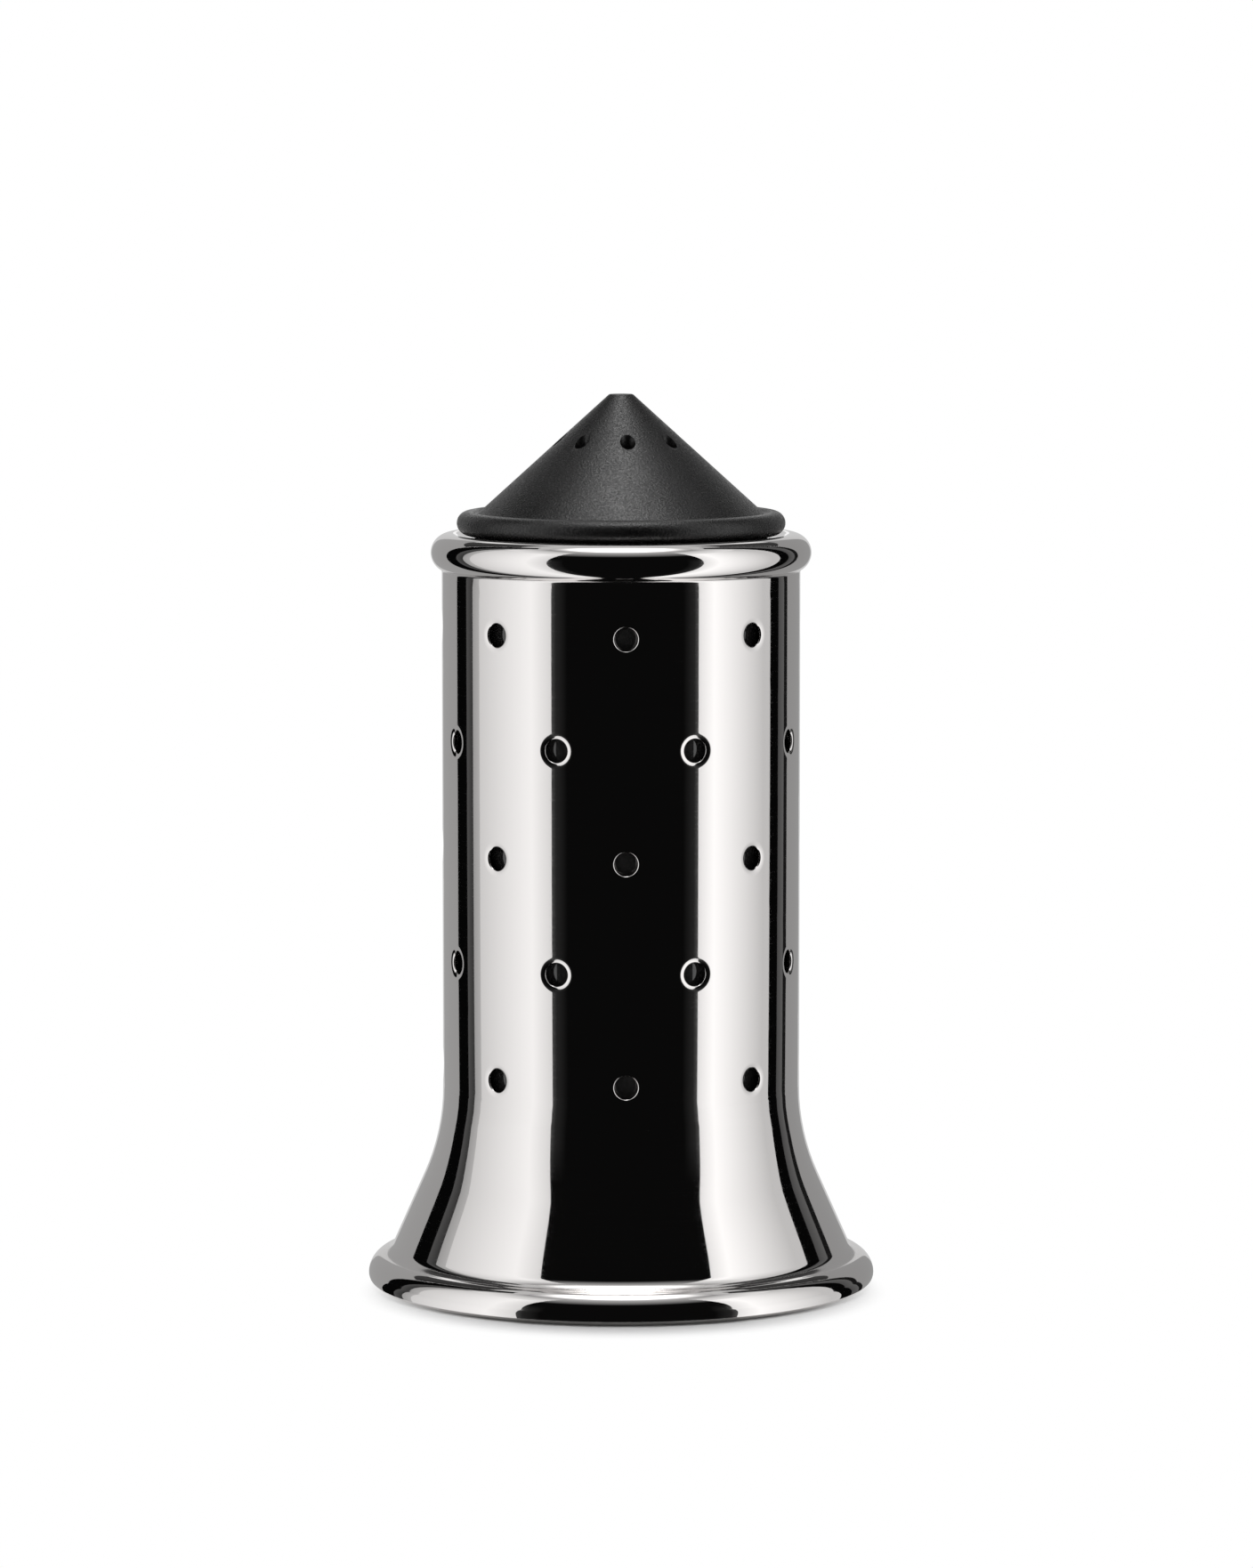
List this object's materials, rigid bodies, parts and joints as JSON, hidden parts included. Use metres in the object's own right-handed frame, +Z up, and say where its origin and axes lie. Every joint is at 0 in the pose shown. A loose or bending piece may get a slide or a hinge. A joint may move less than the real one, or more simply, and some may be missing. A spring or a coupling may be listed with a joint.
{
  "type": "salt shaker",
  "caption": "Free-standing salt shaker: perforated polished steel sleeve with flared base round a black plastic pot, closed by a conical screw cap with pour holes.",
  "frame": {"origin": "centre of the foot ring, on the surface that the shaker stands on", "axes": "+Z up along the shaker's axis, -Y towards the front, where the first hole of the top row lies"},
  "size_m": [0.0522, 0.0522, 0.092],
  "materials": {
    "polished_steel": "mirror-polished stainless steel",
    "pot_plastic": "smooth gloss black",
    "base_plastic": "satin black",
    "seal": "soft matte",
    "cap_plastic": "fine spark-eroded grain, charcoal"
  },
  "bodies": {
    "shaker_body": {"steel_sleeve": "polished_steel", "salt_container": "pot_plastic", "base_plate": "base_plastic"},
    "seal": {"cap_seal": "seal"},
    "cap": {"dispenser_cap": "cap_plastic"}
  },
  "joints": [
    {"name": "cap_lift", "type": "slide", "parent": "shaker_body", "child": "seal", "axis": [0, 0, 1], "range_m": [0, 0.00375]},
    {"name": "cap_turn", "type": "hinge", "parent": "seal", "child": "cap", "pos_m": [0, 0, 0.0776], "axis": [0, 0, 1], "range_deg": [0, 450]}
  ],
  "couplings": [
    {"joint": "cap_lift", "follows": "cap_turn", "m_per_rad": 0.00047746}
  ]
}
